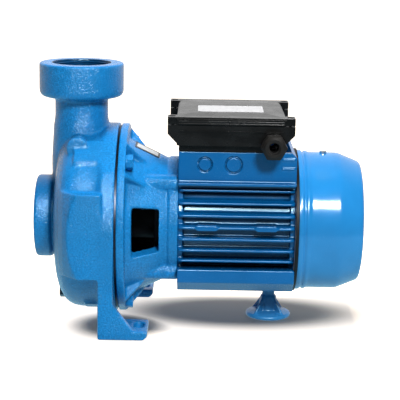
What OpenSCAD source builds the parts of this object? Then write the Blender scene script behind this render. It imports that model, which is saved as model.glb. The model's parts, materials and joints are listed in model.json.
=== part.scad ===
// Close-coupled centrifugal water pump driven by a fan-cooled single-phase motor.
// Millimetres. The origin is the centre of the suction port's face, on the shaft's axis.
// +X runs along the shaft towards the motor, and +Z is up.

/* [Ports] */
// Radius of the plain bore that stands for each port's pipe thread
port_bore_r = 28.3; // [27.5:0.1:29]
// Depth of each pipe thread
port_depth = 20; // [14:1:21]
// Outer radius of the suction collar
suction_r = 41; // [39:0.5:43]
// Outer radius of the discharge collar
discharge_r = 41.3; // [39:0.1:43]
// Distance from the suction face to the discharge pipe's axis
discharge_x = 44; // [43:0.5:45]
// Height of the discharge face above the shaft
discharge_z = 154; // [150:1:170]
// Height of the discharge collar
discharge_len = 33; // [28:1:36]
// Outer radius of the discharge neck
neck_r = 26; // [25:0.5:27]
// Radius of the water passage in the neck
passage_r = 20.5; // [18:0.5:21]

/* [Casing] */
// Radius of the casing's round body
casing_r = 90.2; // [90:0.1:91]
// Radius of the casing's flange
flange_r = 94; // [93.5:0.1:95]
// Place of the casing's joint face along the shaft
joint_x = 81.5; // [81:0.1:82]
// Radius of the casing bolt circle
bolt_circle_r = 85.5; // [85:0.1:86]
// Angle of the upper casing bolts above the horizontal
upper_bolt_angle = 50; // [48:1:52]
// Angle of the lower casing bolts below the horizontal
lower_bolt_angle = 62; // [60:1:63]
// Depth of the tapped holes in the casing
tap_depth = 19; // [14:1:20]

/* [Feet] */
// Height of the shaft above the floor
shaft_height = 100; // [98:1:102]
// Distance from the middle to the outer face of each foot
foot_out_y = 93.5; // [92:0.5:94]
// Distance from the middle to the inner edge of each foot
foot_in_y = 51; // [50:1:54]
// Thickness of each foot pad
pad_t = 9; // [8:0.5:10]
// Distance from the suction face to the centre of each bolt slot
slot_x = 105; // [103:0.5:106]
// Distance from the middle to the centre of each bolt slot
slot_y = 70; // [69:0.5:72]
// Half width of each bolt slot
slot_r = 5; // [4:0.5:5.5]
// End-to-end length of each bolt slot
slot_len = 18; // [14:1:20]

/* [Motor] */
// Place of the motor frame's front face along the shaft
frame_x = 141; // [141:0.5:141]
// Length of the motor frame
frame_len = 113; // [113:0.5:113]
// Bore radius of the motor frame
frame_bore_r = 52; // [51.9:0.1:52.1]
// Radius of the motor frame's barrel
barrel_r = 56.5; // [56:0.1:57]
// Radius of the circle on which the fins' tips lie
fin_tip_r = 66; // [65.5:0.5:67]
// Thickness of one fin at its tip
fin_t = 2.4; // [2:0.1:3.5]
// Distance from one fin to the next
fin_pitch = 11.35; // [11.3:0.05:11.5]
// Half width of the block under the terminal box
block_y = 55; // [54:0.5:56]
// Height of the block's top above the shaft
block_z = 77; // [77:0.5:77]

/* [Fan cover] */
// Outer radius of the fan cover's wall
cover_r = 67.8; // [67.5:0.1:68]
// Thickness of the fan cover's sheet
cover_t = 1.2; // [1:0.1:1.2]
// Place of the fan cover's far end along the shaft
cover_end_x = 320; // [319:0.5:322]

/* [Terminal box] */
// Half width of the terminal box
box_y = 63; // [62:0.5:64]
// Height of the lid's top above the shaft
lid_z = 112; // [111:0.5:114]
// Thickness of the box's walls
wall_t = 2.5; // [2:0.1:3]
// Place of the cable gland along the shaft
gland_x = 230.5; // [230:0.5:233]
// Height of the cable gland above the shaft
gland_z = 85; // [84.5:0.5:85.5]

/* [Hidden] */
round_fn = 96;
small_fn = 32;
// Gap left between two pieces that touch in the real pump
ease = 0.02;
// Overlap that makes a cut pass clean through
cut = 1;
plate_t = 2;
bracket_x = joint_x + plate_t;
flange_t = 7.5;
bolt_seat_x = bracket_x + flange_t;
bolt_angles = [upper_bolt_angle, 180 - upper_bolt_angle, 180 + lower_bolt_angle, 360 - lower_bolt_angle];
// Distance from the shaft to the flats that cross the flanges beside each bolt
bolt_flat_r = 92.4;
floor_z = -shaft_height;
frame_bottom_z = -62.5;
frame_end_x = frame_x + frame_len;
rod_r = 2.5;
rod_offset = 44;
// Bearing seats: bore radius of the ring, outer radius, width and place
front_bearing_x = 125;
front_bearing = [8.5, 20, 12];
rear_bearing_x = 243.5;
rear_bearing = [7.5, 17.5, 11];
core_x = 160;
core_len = 66;
rotor_r = 31.1;
stator_bore_r = 31.5;
slot_count = 24;
bar_count = 18;
foot_x = 233;
stem_r = 6.25;
box_floor_z = 78;
lid_seat_z = 103.2;
capacitor_x = 213;

// ---- Helpers ----

// A solid of revolution about the shaft, from an outline of [radius, x] points
module turned(points) {
  rotate([90, 0, 90]) rotate_extrude($fn = round_fn) polygon(points);
}

// A rod along the shaft from x to x + len
module rod(x, len, r) {
  translate([x, 0, 0]) rotate([0, 90, 0]) cylinder(r = r, h = len, $fn = round_fn);
}

// A tube along the shaft
module tube(x, len, r_out, r_in) {
  difference() {
    rod(x, len, r_out);
    rod(x - cut, len + 2 * cut, r_in);
  }
}

// A hexagonal prism along the shaft, measured across its flats
module hex_rod(x, len, flats) {
  translate([x, 0, 0]) rotate([0, 90, 0]) cylinder(r = flats / sqrt(3), h = len, $fn = 6);
}

// Places children at each casing bolt's axis
module at_bolts() {
  for (a = bolt_angles)
    translate([0, bolt_circle_r * cos(a), bolt_circle_r * sin(a)]) children();
}

// Places children at each tie rod's axis
module at_rods() {
  for (y = [-1, 1], z = [-1, 1]) translate([0, y * rod_offset, z * rod_offset]) children();
}

// A block from corner to corner
module block(low, high) {
  translate(low) cube(high - low);
}

// A quarter round of [radius, x] points that turns from angle a0 to a1 about a centre
function arc(r, x, size, a0, a1, steps) =
  [for (i = [0:steps]) let (a = a0 + (a1 - a0) * i / steps) [r + size * cos(a), x + size * sin(a)]];

// ---- Pump casing ----

module casing_shell() {
  turned(concat(
    [[20, 0], [suction_r - 1, 0], [suction_r, 2]],
    [[suction_r, 14], [suction_r - 1, 16], [36.5, 17], [36.5, 19.3], [42, 19.5], [46, 20]],
    [[57, 21.2], [66, 22.8], [73, 24.8], [79, 28], [83.6, 31], [86.8, 35], [89, 40]],
    [[casing_r, 47], [casing_r, 60], [casing_r + 1, 65], [flange_r, 69], [flange_r, joint_x], [20, joint_x]]
  ));
}

lower_boss_x = 51;

// Raised pads that carry the bolts: long ones with a shoulder above, short ones below
module bolt_lugs() {
  for (a = bolt_angles) {
    upper = sin(a) > 0;
    start_x = upper ? 41 : 64;
    translate([0, (bolt_circle_r - 3) * cos(a), (bolt_circle_r - 3) * sin(a)])
      rod(start_x, joint_x - start_x, 11);
    if (upper) translate([0, 46 * sign(cos(a)), 74]) rod(start_x, joint_x - start_x, 10);
    else translate([0, 45 * sign(cos(a)), -75.5]) rod(lower_boss_x, joint_x - lower_boss_x - 10, 8.5);
  }
}

// Upright faces on both sides of the casing, in one plane with the feet
module side_faces() {
  height = 41;
  intersection() {
    turned([[0, 25], [80, 28], [88, 33], [96, 40], [102, 47], [102, 70], [0, 70]]);
    block([20, -foot_out_y, -height], [75, foot_out_y, height]);
  }
}

module discharge_pipe() {
  collar_z = discharge_z - discharge_len;
  bottom = [for (p = arc(discharge_r - 6, collar_z + 6, 6, -90, 0, 5)) p];
  translate([discharge_x, 0, 0]) rotate_extrude($fn = round_fn) polygon(concat(
    [[0, 36], [neck_r + 3.4, 36], [neck_r + 3.4, 60], [neck_r + 1.5, 92], [neck_r, 102], [neck_r, collar_z - 3], [neck_r + 3, collar_z]],
    bottom,
    [[discharge_r, discharge_z - 1], [discharge_r - 1, discharge_z], [0, discharge_z]]
  ));
}

module water_space() {
  // Suction thread, throat, wear ring seat and the chamber round the impeller
  turned([[0, -cut], [port_bore_r, -cut], [port_bore_r, port_depth], [25, port_depth], [25, 26],
    [27.3, 26], [27.3, 31], [60, 31], [72, 34.5], [80, 40], [83.5, 46], [83.5, 54], [76, 60],
    [76, joint_x + cut], [0, joint_x + cut]]);
  translate([discharge_x, 0, 76]) cylinder(r = passage_r, h = discharge_z - 76, $fn = round_fn);
  translate([discharge_x, 0, discharge_z - port_depth])
    cylinder(r = port_bore_r, h = port_depth + cut, $fn = round_fn);
}

// Standing leg, gusset and slotted pad of one foot
module foot(side) {
  leg_x = [66.5, 81];
  pad_end_x = 114;
  corner = 4;
  mirror([0, side < 0 ? 1 : 0, 0]) difference() {
    union() {
      difference() {
        block([leg_x[0], foot_in_y, floor_z], [leg_x[1], foot_out_y, -8]);
        rod(0, 100, casing_r - 8);
      }
      translate([0, foot_out_y, 0]) rotate([90, 0, 0]) linear_extrude(height = 8)
        polygon([[leg_x[1] - cut, -64], [100.5, floor_z + pad_t], [leg_x[1] - cut, floor_z + pad_t]]);
      translate([0, foot_out_y, 0]) rotate([90, 0, 0]) linear_extrude(height = foot_out_y - foot_in_y)
        polygon([[leg_x[0], floor_z], [pad_end_x - corner, floor_z], [pad_end_x, floor_z + corner],
          [pad_end_x, floor_z + pad_t], [leg_x[0], floor_z + pad_t]]);
    }
    for (y = [-1, 1]) translate([slot_x, slot_y + y * (slot_len / 2 - slot_r), floor_z - cut])
      cylinder(r = slot_r, h = pad_t + 2 * cut, $fn = round_fn);
    block([slot_x - slot_r, slot_y - slot_len / 2 + slot_r, floor_z - cut],
      [slot_x + slot_r, slot_y + slot_len / 2 - slot_r, floor_z + pad_t + cut]);
  }
}

// Web that joins the two feet under the casing
module foot_web() {
  difference() {
    block([70, -foot_in_y - cut, -88], [joint_x, foot_in_y + cut, -50]);
    rod(0, 100, casing_r - 8);
  }
}

// Flats that cross a flange beside each bolt
module bolt_flats(x0, x1) {
  for (a = bolt_angles) rotate([a, 0, 0]) block([x0, bolt_flat_r, -40], [x1, 120, 40]);
}

drain_y = 14;
drain_z = -80;
drain_face_x = 27.4;
priming_z = 106;
priming_face_y = 32;
plug_thread_r = 6;

module pump_casing() color([0.14, 0.51, 0.75]) difference() {
  union() {
    difference() {
      union() {
        casing_shell();
        bolt_lugs();
        side_faces();
      }
      bolt_flats(30, joint_x + cut);
    }
    discharge_pipe();
    foot(1);
    foot(-1);
    foot_web();
    translate([0, drain_y, drain_z]) rod(drain_face_x, 20, 10);
    translate([discharge_x, 20, priming_z]) rotate([-90, 0, 0])
      cylinder(r = 10, h = priming_face_y - 20, $fn = round_fn);
    // Blind round boss at the foot of the neck
    translate([discharge_x, -20, 77]) rotate([90, 0, 0]) cylinder(r = 10.4, h = 31, $fn = round_fn);
  }
  water_space();
  // Spot face under the drain plug's washer
  translate([0, drain_y, drain_z]) rod(drain_face_x - 10, 10, 9.2);
  // Tapped holes for the casing bolts
  at_bolts() rod(joint_x - tap_depth, tap_depth + cut, 4);
  // Groove for the casing's ring seal
  difference() {
    rod(joint_x - 2.4, 2.4 + cut, 80.6);
    rod(joint_x - 3, 4 + cut, 77.4);
  }
  translate([0, drain_y, drain_z]) rod(drain_face_x - cut, 22, plug_thread_r);
  translate([discharge_x, 10, priming_z]) rotate([-90, 0, 0])
    cylinder(r = plug_thread_r, h = 30, $fn = round_fn);
}

module casing_oring() color([0.08, 0.08, 0.08])
  rotate([90, 0, 90]) rotate_extrude($fn = round_fn) translate([79, joint_x - 1.2]) circle(r = 1.15, $fn = small_fn);

// A hexagon-headed plug along +X, with its head at negative x
module plug() {
  hex_rod(-7, 5, 16);
  rod(-2.01, 1, 8);
  rod(-1.02, 10, plug_thread_r - ease);
}

module drain_plug() color([0.1, 0.14, 0.2]) translate([drain_face_x, drain_y, drain_z]) plug();

module priming_plug() color([0.1, 0.14, 0.2])
  translate([discharge_x, priming_face_y, priming_z]) rotate([0, 0, -90]) plug();

module plug_washers() color([0.7, 0.45, 0.2]) {
  translate([drain_face_x, drain_y, drain_z]) tube(-1, 1 - ease, 8.5, plug_thread_r + ease);
  translate([discharge_x, priming_face_y, priming_z]) rotate([0, 0, -90]) tube(-1, 1 - ease, 8.5, plug_thread_r + ease);
}

// ---- Back plate and casing bolts ----

plate_r = 91.2;
plate_clamp_r = 89.8;
plate_front_x = 64;
cup_end_x = 86;

// Pressed disc with a dished middle and a cup for the seal's fixed seat
module back_plate() color([0.75, 0.76, 0.78]) difference() {
  turned([[plate_clamp_r, joint_x], [plate_clamp_r, joint_x + 0.6], [plate_r, joint_x + 0.6],
    [plate_r, bracket_x - 0.6], [plate_clamp_r, bracket_x - 0.6], [plate_clamp_r, bracket_x], [73.5, bracket_x], [69, plate_front_x + plate_t],
    [21, plate_front_x + plate_t], [21, cup_end_x], [10, cup_end_x], [10, cup_end_x - plate_t],
    [19, cup_end_x - plate_t], [19, plate_front_x], [70, plate_front_x], [75, joint_x]]);
  at_bolts() rod(joint_x - cut, plate_t + 2 * cut, 4.2);
}

module casing_bolts() color([0.16, 0.5, 0.74]) at_bolts() {
  hex_rod(bolt_seat_x + 1.6, 5.3, 13);
  rod(joint_x - tap_depth + 2, tap_depth - 2 + plate_t + flange_t + 1.7, 4 - ease);
}

module casing_washers() color([0.7, 0.71, 0.73]) at_bolts()
  tube(bolt_seat_x, 1.6 - ease, 7, 4.2);

// ---- Impeller and shaft seal ----

impeller_r = 66;
hub_x = [44, 64];

module impeller_vanes() {
  vane_bend_r = 48;
  vane_centre = 40;
  vane_t = 3;
  rotate([90, 0, 90]) translate([0, 0, 34]) linear_extrude(height = 24)
    for (i = [0:5]) rotate(i * 60) intersection() {
      translate([vane_centre, 0]) difference() {
        circle(r = vane_bend_r + vane_t, $fn = round_fn);
        circle(r = vane_bend_r, $fn = round_fn);
      }
      translate([-80, 0]) square([160, 80]);
      difference() {
        circle(r = impeller_r, $fn = round_fn);
        circle(r = 22, $fn = round_fn);
      }
    }
}

module impeller() color([0.78, 0.62, 0.3]) difference() {
  union() {
    turned([[24, 27], [27, 27], [27, 34], [impeller_r, 44], [impeller_r, 47], [24, 37]]);
    turned([[7 + ease, hub_x[0]], [12, hub_x[0]], [14, 53], [24, 56], [impeller_r, 56.5],
      [impeller_r, 59.5], [18, 59.5], [14, hub_x[1]], [7 + ease, hub_x[1]]]);
    intersection() {
      impeller_vanes();
      turned([[20, 36], [24, 36], [impeller_r, 46], [impeller_r, 57], [20, 57]]);
    }
  }
  // Keyway
  block([hub_x[0] - cut, -2.02, 0], [hub_x[1] + cut, 2.02, 9.1]);
}

module impeller_key() color([0.5, 0.5, 0.52])
  block([hub_x[0] + 3, -2, 4.8], [hub_x[1] - 1, 2, 9]);

module impeller_washer() color([0.7, 0.71, 0.73]) tube(hub_x[0] - 1.5, 1.5 - ease, 11, 6.1);

module impeller_nut() color([0.7, 0.71, 0.73]) difference() {
  hex_rod(33.5, 9 - ease, 19);
  rod(30, 20, 6 + ease);
}

module seal_seat() color([0.85, 0.83, 0.78]) tube(78, cup_end_x - plate_t - 78 - ease, 19 - ease, 10);

module seal_face() color([0.15, 0.15, 0.16]) tube(73, 5 - ease, 15, 8.5 + ease);

// Coil of the seal's spring, from the impeller hub to the rotating face
module seal_spring() color([0.6, 0.6, 0.62]) {
  turns = 2.5;
  steps = 40;
  wire_r = 0.9;
  coil_r = 11.5;
  first_x = hub_x[1] + wire_r + 0.15;
  last_x = 73 - wire_r - 0.15;
  points = [for (i = [0:steps]) let (a = 360 * turns * i / steps)
    [first_x + (last_x - first_x) * i / steps, coil_r * cos(a), coil_r * sin(a)]];
  for (i = [0:steps - 1]) hull() {
    translate(points[i]) sphere(r = wire_r, $fn = 8);
    translate(points[i + 1]) sphere(r = wire_r, $fn = 8);
  }
}

// ---- Motor bracket ----

cone_r = 77.5;
cone_x = 93;
cone_end_r = 59.5;
cone_end_x = 131;
cone_slope = (cone_r - cone_end_r) / (cone_end_x - cone_x);
bed_x = 109.3;
spigot_r = frame_bore_r - ease;

// Opening with radial sides and round corners, centred at angle a about the shaft
module window_cut(a, x0, x1, half_angle) {
  corner_r = 2.5;
  rotate([a, 0, 0]) hull() for (x = [x0 + corner_r, x1 - corner_r], s = [-1, 1])
    rotate([s * (half_angle - 2), 0, 0]) translate([x, 44, 0]) rotate([-90, 0, 0])
      cylinder(r = corner_r, h = 66, $fn = small_fn);
}

// Places children on the sloping flat bed under the rating plate
module on_plate_bed() {
  bed_depth = 2;
  translate([bed_x, 0, cone_r - cone_slope * (bed_x - cone_x) - bed_depth])
    rotate([0, atan(cone_slope), 0]) children();
}

module gusset(a) {
  thick = 4;
  rotate([a, 0, 0]) translate([0, 0, -thick / 2]) linear_extrude(height = thick)
    polygon([[bolt_seat_x - cut, 70], [bolt_seat_x - cut, 92], [bolt_seat_x + 1, 92],
      [109, 70.5], [109, 66]]);
}

module motor_bracket() color([0.14, 0.5, 0.74]) difference() {
  union() {
    turned([[93.4, bracket_x], [93.4, bolt_seat_x], [79, bolt_seat_x], [cone_r, cone_x],
      [cone_end_r, cone_end_x], [61.5, 132], [61.5, frame_x], [spigot_r, frame_x],
      [spigot_r, frame_x + 4], [47, frame_x + 4], [47, 128], [26, 128], [26, 139], [20, 139],
      [20, front_bearing_x], [10, front_bearing_x], [10, 94], [21, 94], [21, 118], [53, 118],
      [66, 92], [66, bracket_x]]);
    for (a = bolt_angles, s = [-12, 12]) gusset(a + s);
    difference() {
      at_rods() rod(106, frame_x - 106, 8);
      turned([[0, 90], [64, 90], [52, 118], [52, 146], [0, 146]]);
    }
  }
  // Side windows, and a drain opening underneath
  for (a = [0, 180]) window_cut(a, 97, 123, 19.5);
  window_cut(270, 97, 118, 12);
  on_plate_bed() translate([-13.9, -24, 0]) cube([27.8, 48, 40]);
  at_bolts() {
    rod(bracket_x - cut, flange_t + 2 * cut, 4.5);
    rod(bolt_seat_x, 16, 8.6);
  }
  at_rods() rod(120, 30, rod_r + ease);
  bolt_flats(bracket_x - cut, bolt_seat_x + cut);
}

module rating_plate() color([0.8, 0.81, 0.82]) on_plate_bed()
  translate([-13.2, -13, ease]) cube([26.4, 26, 0.6]);

module slinger() color([0.1, 0.1, 0.1]) turned([[8.5 + ease, 87.5], [8.5 + ease, 93], [12, 93],
  [13, 91], [22, 90.5], [22, 89], [12, 87.5]]);

module bearing_circlip() color([0.3, 0.3, 0.32]) tube(137.2, 1.2, 19.9, 17.5);

// ---- Shaft and rotor ----

module shaft() color([0.72, 0.73, 0.75]) difference() {
  turned([[0, 31], [5.4, 31], [6, 32], [6, hub_x[0]], [7, hub_x[0]], [7, hub_x[1]], [8.5, hub_x[1]],
    [8.5, 137], [11, 137], [11, rear_bearing_x], [7.5, rear_bearing_x], [7.5, 257], [7, 257],
    [7, 297], [6, 298], [0, 298]]);
  // Keyway of the impeller
  block([hub_x[0] + 2.9, -2.02, 4.7], [hub_x[1] - 0.9, 2.02, 9]);
}

module rotor_core() color([0.45, 0.46, 0.48]) difference() {
  tube(core_x, core_len, rotor_r, 11 + ease);
  for (i = [1:bar_count]) rotate([i * 360 / bar_count, 0, 0]) translate([0, 26.5, 0])
    rod(core_x - cut, core_len + 2 * cut, 2.5);
}

// Cast end rings joined by the bars in the rotor's slots
module rotor_cage() color([0.72, 0.73, 0.75]) {
  for (x = [core_x - 8, core_x + core_len + ease]) tube(x, 8 - ease, 30, 18);
  for (i = [1:bar_count]) rotate([i * 360 / bar_count, 0, 0]) translate([0, 26.5, 0])
    rod(core_x - 2, core_len + 4, 2.5 - ease);
}

// ---- Ball bearings ----

// Sizes of a bearing [inner radius, outer radius, width]
function ball_circle_r(b) = (b[0] + b[1]) / 2;
function ball_r(b) = (b[1] - b[0]) * 0.29;
race_gap = 0.06;

module groove(x, b) {
  rotate([90, 0, 90]) rotate_extrude($fn = round_fn)
    translate([ball_circle_r(b), x + b[2] / 2]) circle(r = ball_r(b) + race_gap, $fn = 48);
}

module outer_ring(x, b) color([0.7, 0.71, 0.74]) difference() {
  tube(x, b[2], b[1] - ease, ball_circle_r(b) + ball_r(b) * 0.62);
  groove(x, b);
}

module inner_ring(x, b) color([0.7, 0.71, 0.74]) difference() {
  tube(x, b[2], ball_circle_r(b) - ball_r(b) * 0.62, b[0] + ease);
  groove(x, b);
}

module at_balls(x, b) for (i = [0:7]) rotate([i * 45, 0, 0])
  translate([x + b[2] / 2, ball_circle_r(b), 0]) children();

module balls(x, b) color([0.82, 0.83, 0.85]) at_balls(x, b) sphere(r = ball_r(b), $fn = 48);

module cage(x, b) color([0.75, 0.6, 0.3]) difference() {
  tube(x + b[2] / 2 - 2.6, 5.2, ball_circle_r(b) + 0.9, ball_circle_r(b) - 0.9);
  at_balls(x, b) sphere(r = ball_r(b) + 0.08, $fn = 48);
}

module front_bearing_outer() outer_ring(front_bearing_x, front_bearing);
module front_bearing_inner() inner_ring(front_bearing_x, front_bearing);
module front_bearing_balls() balls(front_bearing_x, front_bearing);
module front_bearing_cage() cage(front_bearing_x, front_bearing);
module rear_bearing_outer() outer_ring(rear_bearing_x, rear_bearing);
module rear_bearing_inner() inner_ring(rear_bearing_x, rear_bearing);
module rear_bearing_balls() balls(rear_bearing_x, rear_bearing);
module rear_bearing_cage() cage(rear_bearing_x, rear_bearing);

module wave_spring() color([0.5, 0.5, 0.52])
  tube(rear_bearing_x + rear_bearing[2] + 0.1, 1.2, 17, 13);

// ---- Motor frame ----

// Outline across the shaft, in the YZ plane
module frame_section() {
  circle(r = barrel_r, $fn = round_fn);
  translate([-block_y, 45]) square([2 * block_y, block_z - 45]);
  polygon([[-62, -37.5], [-62, -50], [-45, frame_bottom_z], [45, frame_bottom_z], [62, -50], [62, -37.5]]);
  for (y = [-1, 1], z = [-1, 1]) translate([y * rod_offset, z * rod_offset]) circle(r = 6.6, $fn = round_fn);
}

module along_frame(x, len) {
  translate([x, 0, 0]) rotate([90, 0, 90]) linear_extrude(height = len) children();
}

// Height of each fin's middle, from the top fin down
function fin_z(i) = 38.8 - i * fin_pitch;

// Distance from the middle to each fin's tip
function fin_tip_y(i) = sqrt(fin_tip_r * fin_tip_r - fin_z(i) * fin_z(i));

// One fin, thicker at its root, with its ends and tip rounded in
module fin(z, tip_y) {
  end = [5, 1.5];
  tip = 0.5;
  draft = 1.2;
  half = fin_t / 2;
  root_y = sqrt(barrel_r * barrel_r - z * z) - 1;
  front = [for (p = [[0, 5], [end[1], end[1]], [end[0], 0]]) [frame_x + p[0], tip_y - p[1]]];
  back = [for (p = [[end[0], 0], [end[1], end[1]], [0, 5]]) [frame_end_x - p[0], tip_y - p[1]]];
  intersection() {
    translate([0, 0, z - half - draft]) linear_extrude(height = fin_t + 2 * draft)
      polygon(concat([[frame_x, 0]], front, back, [[frame_end_x, 0]]));
    along_frame(frame_x, frame_len) translate([0, z]) polygon([[0, -half - draft], [root_y, -half - draft],
      [tip_y - tip, -half], [tip_y, -half + tip], [tip_y, half - tip], [tip_y - tip, half],
      [root_y, half + draft], [0, half + draft]]);
  }
}

// Fins along both sides
module fins() {
  for (i = [0:6], s = [0, 1]) mirror([0, s, 0]) fin(fin_z(i), fin_tip_y(i));
}

// Thickened pads on the fourth fin of each side
module fin_pads() {
  half_h = 2.7;
  for (y = [-1, 1], x = [169, 226]) translate([x, y * (fin_tip_y(3) - 5), fin_z(3)]) rotate([90, 0, 0])
    linear_extrude(height = 11.2, center = true)
      polygon([[-11, -1], [-9, -half_h], [9, -half_h], [11, -1], [11, 1], [9, half_h],
        [-9, half_h], [-11, 1]]);
}

// Two short ribs beside the cable gland, on both sides of the block
module block_ribs() {
  for (y = [-1, 1], z = [61.5, 70]) translate([246, y * block_y, z]) cube([12, 2.4, 1.6], center = true);
}

// Round cast marks sunk in both sides of the block
module cast_marks() {
  for (y = [-1, 1], m = [[166, 7.6], [193.5, 8.7]])
    translate([m[0], y * block_y, 64.6]) rotate([90, 0, 0]) difference() {
      cylinder(r = m[1], h = 3.6, center = true, $fn = round_fn);
      cylinder(r = m[1] - 1.8, h = 5, center = true, $fn = round_fn);
    }
}

box_post_x = [150, 234];
box_post_y = 46;
ledge_y = 60;
earth_x = 175;

module at_box_posts() {
  for (x = box_post_x, y = [-box_post_y, box_post_y]) translate([x, y, 0]) children();
}

module motor_frame() color([0.06, 0.4, 0.65]) difference() {
  union() {
    along_frame(frame_x, frame_len) frame_section();
    for (x = [frame_x, frame_end_x - 5]) rod(x, 5, 59.5);
    fins();
    fin_pads();
    block_ribs();
    translate([foot_x, 0, frame_bottom_z - 2.5]) cylinder(r = 13, h = 10, $fn = round_fn);
    // Ledge at the foot of the block
    block([frame_x, -ledge_y, 45], [frame_end_x, ledge_y, 47.4]);
  }
  rod(frame_x - cut, frame_len + 2 * cut, frame_bore_r);
  cast_marks();
  // Pocket under the terminal box, with posts for its screws left standing
  difference() {
    block([frame_x + 5, -block_y + 5, 59.5], [frame_end_x - 5, block_y - 5, block_z + cut]);
    at_box_posts() cylinder(r = 5.5, h = 100, $fn = round_fn);
    translate([earth_x, box_post_y, 0]) cylinder(r = 5.5, h = 100, $fn = round_fn);
  }
  translate([151, 0, 50]) cylinder(r = 9, h = 20, $fn = round_fn);
  at_box_posts() translate([0, 0, block_z - 14]) cylinder(r = 1.8, h = 20, $fn = round_fn);
  translate([earth_x, box_post_y, block_z - 14]) cylinder(r = 2.1, h = 20, $fn = round_fn);
  at_rods() rod(frame_x - cut, frame_len + 2 * cut, rod_r + 0.3);
  translate([foot_x, 0, -70]) cylinder(r = stem_r + 0.05, h = 16, $fn = round_fn);
  // Sloped rear corner of the block
  translate([frame_end_x, -80, block_z - 5]) rotate([0, -45, 0]) cube([20, 160, 20]);
}

module at_slots() {
  for (i = [1:slot_count]) rotate([i * 360 / slot_count, 0, 0]) translate([0, 39, 0]) children();
}

module stator_core() color([0.4, 0.41, 0.43]) difference() {
  tube(core_x, core_len, frame_bore_r - ease, stator_bore_r);
  at_slots() {
    rod(core_x - cut, core_len + 2 * cut, 3);
    block([core_x - cut, -9, -0.8], [core_x + core_len + cut, 0, 0.8]);
  }
}

// End windings joined by the conductors in the stator's slots
module stator_windings() color([0.72, 0.4, 0.18]) {
  for (x = [[core_x - 14, core_x - 1], [core_x + core_len + 1, core_x + core_len + 14]])
    turned([[35, x[0] + 2], [37, x[0]], [46, x[0]], [49, x[0] + 3], [49, x[1] - 2], [46, x[1]],
      [37, x[1]], [35, x[1] - 2]]);
  at_slots() rod(core_x - 2, core_len + 4, 2.9);
}

module motor_leads() color([0.75, 0.15, 0.1])
  for (y = [-5, 0, 5]) translate([151, y, 49.2]) cylinder(r = 1.6, h = 38, $fn = small_fn);

// ---- Rear of the motor ----

cover_screw_x = 283;
cover_screw_angles = [90, 270];

module rear_shield() color([0.55, 0.56, 0.58]) difference() {
  union() {
    turned([[spigot_r, 250], [spigot_r, frame_end_x], [66.8, frame_end_x], [66.8, 257], [22, 257],
      [22, 260], [8.2, 260], [8.2, 256.2], [17.5, 256.2], [17.5, 243], [21.5, 243], [21.5, 252],
      [46, 252], [46, 250]]);
    // Arms that carry the fan cover's screws
    for (a = cover_screw_angles) rotate([a, 0, 0]) block([256, 58.5, -5], [289, cover_r - cover_t - 0.3, 5]);
  }
  at_rods() rod(250, 10, rod_r + 0.3);
  for (a = cover_screw_angles) rotate([a, 0, 0]) translate([cover_screw_x, 55, 0]) rotate([-90, 0, 0])
    cylinder(r = 1.7, h = 20, $fn = small_fn);
}

module tie_rods() color([0.7, 0.71, 0.73]) at_rods() {
  rod(122, 257.2 - 122, rod_r);
  hex_rod(257.05, 3.5, 8);
}

module cooling_fan() color([0.12, 0.12, 0.13]) {
  tube(268, 24, 13, 7 + ease);
  tube(268, 3, 34, 12);
  for (i = [0:7]) rotate([i * 45, 0, 0]) block([269, 12, -1], [291, 55.5, 1]);
}

module fan_clip() color([0.3, 0.3, 0.32]) tube(292.1, 1.2, 10.5, 7 + ease);

module cover_ring() color([0.05, 0.05, 0.05]) tube(frame_end_x, 3 - ease, 71.3, 66.8 + ease);

// Outline of the fan cover, drawn in by inset from its outside
function cover_outline(inset) = [
  [cover_r + 2 - inset, 257], [cover_r + 2 - inset, 261], [cover_r + 0.2 - inset, 262.5],
  [cover_r + 0.2 - inset, 263.5], [cover_r + 1.2 - inset, 265], [cover_r + 1.2 - inset, 267],
  [cover_r - inset, 269], [cover_r - inset, 296], [cover_r - 0.8 - inset, 299],
  [60.3 - inset, cover_end_x - 3.6 - inset / 2], [59 - inset, cover_end_x - 1.4 - inset],
  [56.5 - inset / 2, cover_end_x - inset], [0, cover_end_x - inset]
];

module fan_cover() color([0.2, 0.56, 0.85]) difference() {
  turned(concat(cover_outline(0), [[0, 257]]));
  difference() {
    turned(concat(cover_outline(cover_t), [[0, 256], [cover_r + 2 - cover_t, 256]]));
    rod(250, 5, 200);
  }
  // Rings of air slots in the end face, crossed by eight spokes
  for (r = [16, 24, 32, 40]) difference() {
    tube(cover_end_x - 3, 6, r + 4.5, r);
    for (i = [0:3]) rotate([i * 45, 0, 0]) block([300, -80, -1.6], [330, 80, 1.6]);
  }
  for (a = cover_screw_angles) rotate([a, 0, 0]) translate([cover_screw_x, 55, 0]) rotate([-90, 0, 0])
    cylinder(r = 2.2, h = 20, $fn = small_fn);
}

module fan_cover_screws() color([0.8, 0.8, 0.82]) for (a = cover_screw_angles)
  rotate([a, 0, 0]) translate([cover_screw_x, 0, 0]) rotate([-90, 0, 0]) difference() {
    union() {
      translate([0, 0, 58]) cylinder(r = 1.7 - ease, h = 10, $fn = small_fn);
      translate([0, 0, cover_r + 0.05]) cylinder(r = 3.5, h = 2, $fn = small_fn);
    }
    translate([-4, -0.5, cover_r + 1.2]) cube([8, 1, 2]);
  }

// ---- Terminal box ----

module box_side(points) {
  translate([0, 200, 0]) rotate([90, 0, 0]) linear_extrude(height = 400) polygon(points);
}

module box_front(points) {
  translate([100, 0, 0]) rotate([90, 0, 90]) linear_extrude(height = 200) polygon(points);
}

body_x = [139, 242];
ear_x = 8.6;
ear_y = [48, 63];
ear_screw_y = 55.5;
skirt_x = [141, 242];
skirt_y = 57;
skirt_z = 84;

module at_lid_screws() {
  for (x = [body_x[0] - ear_x / 2, body_x[1] + ear_x / 2], y = [-ear_screw_y, ear_screw_y])
    translate([x, y, 0]) children();
}

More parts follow.
